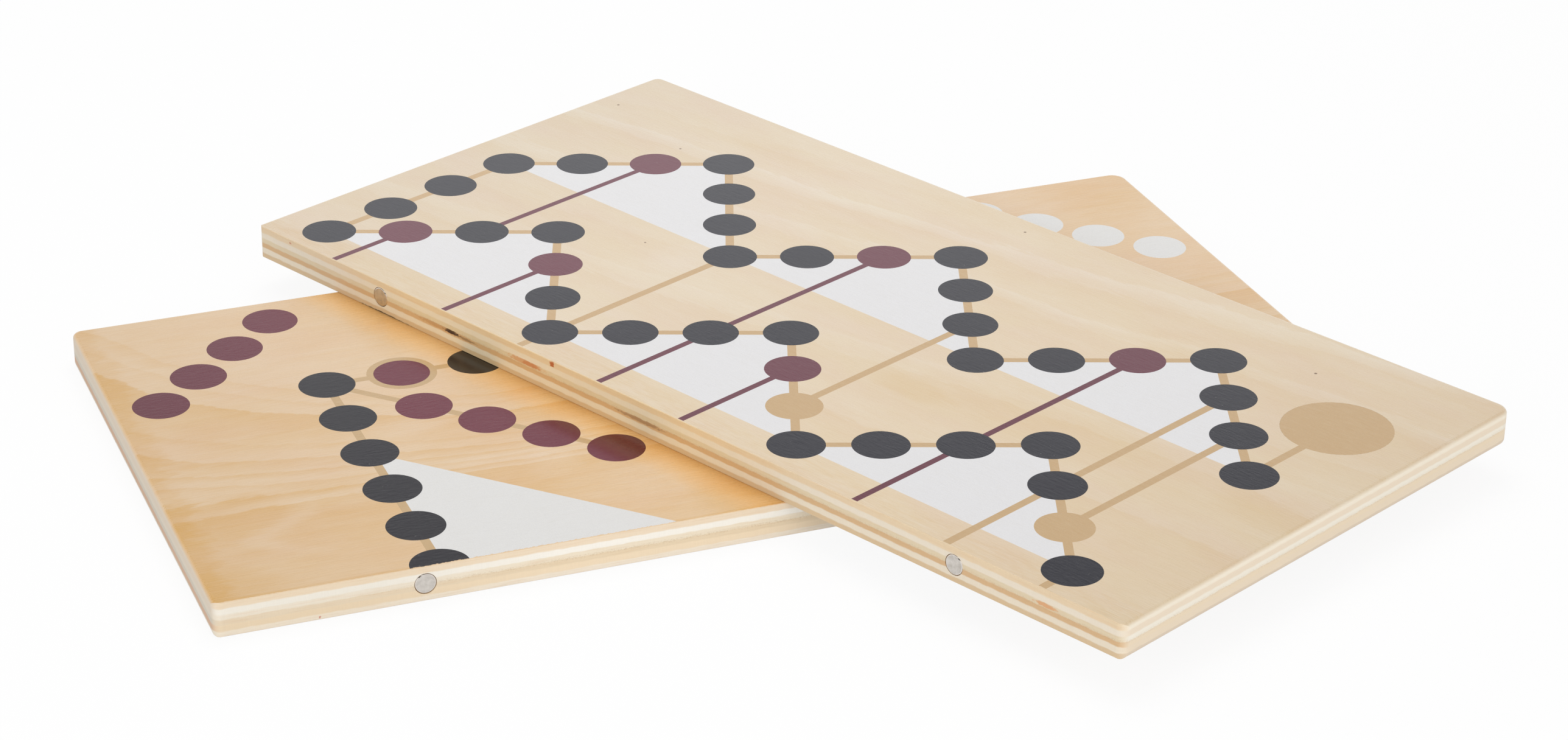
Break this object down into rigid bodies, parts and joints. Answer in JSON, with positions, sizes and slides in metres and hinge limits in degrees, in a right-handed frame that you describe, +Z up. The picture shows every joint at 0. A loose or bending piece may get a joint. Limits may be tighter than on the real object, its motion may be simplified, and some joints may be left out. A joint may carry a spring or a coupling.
{
  "type": "two-part two-sided board game",
  "caption": "Plywood game board in two halves that join edge to edge by magnets, ludo on one side and a ladder game on the other, shown with one half lying across the other.",
  "frame": {"origin": "middle of the lower half's underside, on the surface that the board lies on", "axes": "+X along the lower half's long side, +Y from its joining edge towards its far edge, +Z up through the stack"},
  "size_m": [0.4229, 0.4448, 0.024],
  "materials": {
    "face_veneer": "pale sanded face veneer, grain along the joining edge, thin clear satin finish",
    "crossband_veneer": "bare veneer, grain across the half, end grain and long grain seen at the edges",
    "core_veneer": "bare veneer, grain along the joining edge",
    "magnet_nickel": "nickel-plated magnet, bright, with a small chamfer",
    "dark_ink": "near-black print, satin, over the wood's grain",
    "wine_ink": "wine-red print, satin, over the wood's grain",
    "tan_ink": "light brown print, satin, over the wood's grain",
    "white_ink": "white print, satin, over the wood's grain"
  },
  "bodies": {
    "lower_half": {"lower_ludo_face_veneer": "face_veneer", "lower_ludo_side_crossband": "crossband_veneer", "lower_ludo_side_core": "core_veneer", "lower_ladder_side_core": "core_veneer", "lower_ladder_side_crossband": "crossband_veneer", "lower_ladder_face_veneer": "face_veneer", "lower_left_magnet": "magnet_nickel", "lower_right_magnet": "magnet_nickel", "lower_ludo_dark_ink": "dark_ink", "lower_ludo_wine_ink": "wine_ink", "lower_ludo_tan_ink": "tan_ink", "lower_ludo_white_ink": "white_ink", "lower_ladder_dark_ink": "dark_ink", "lower_ladder_wine_ink": "wine_ink", "lower_ladder_tan_ink": "tan_ink", "lower_ladder_white_ink": "white_ink"},
    "upper_half": {"upper_ladder_face_veneer": "face_veneer", "upper_ladder_side_crossband": "crossband_veneer", "upper_ladder_side_core": "core_veneer", "upper_ludo_side_core": "core_veneer", "upper_ludo_side_crossband": "crossband_veneer", "upper_ludo_face_veneer": "face_veneer", "upper_left_magnet": "magnet_nickel", "upper_right_magnet": "magnet_nickel", "upper_ladder_dark_ink": "dark_ink", "upper_ladder_wine_ink": "wine_ink", "upper_ladder_tan_ink": "tan_ink", "upper_ladder_white_ink": "white_ink", "upper_ludo_dark_ink": "dark_ink", "upper_ludo_tan_ink": "tan_ink", "upper_ludo_white_ink": "white_ink"}
  },
  "joints": [
    {"name": "upper_half_lift", "type": "slide", "parent": "lower_half", "child": "upper_half", "axis": [0, 0, 1], "range_m": [0, 0.15]}
  ]
}
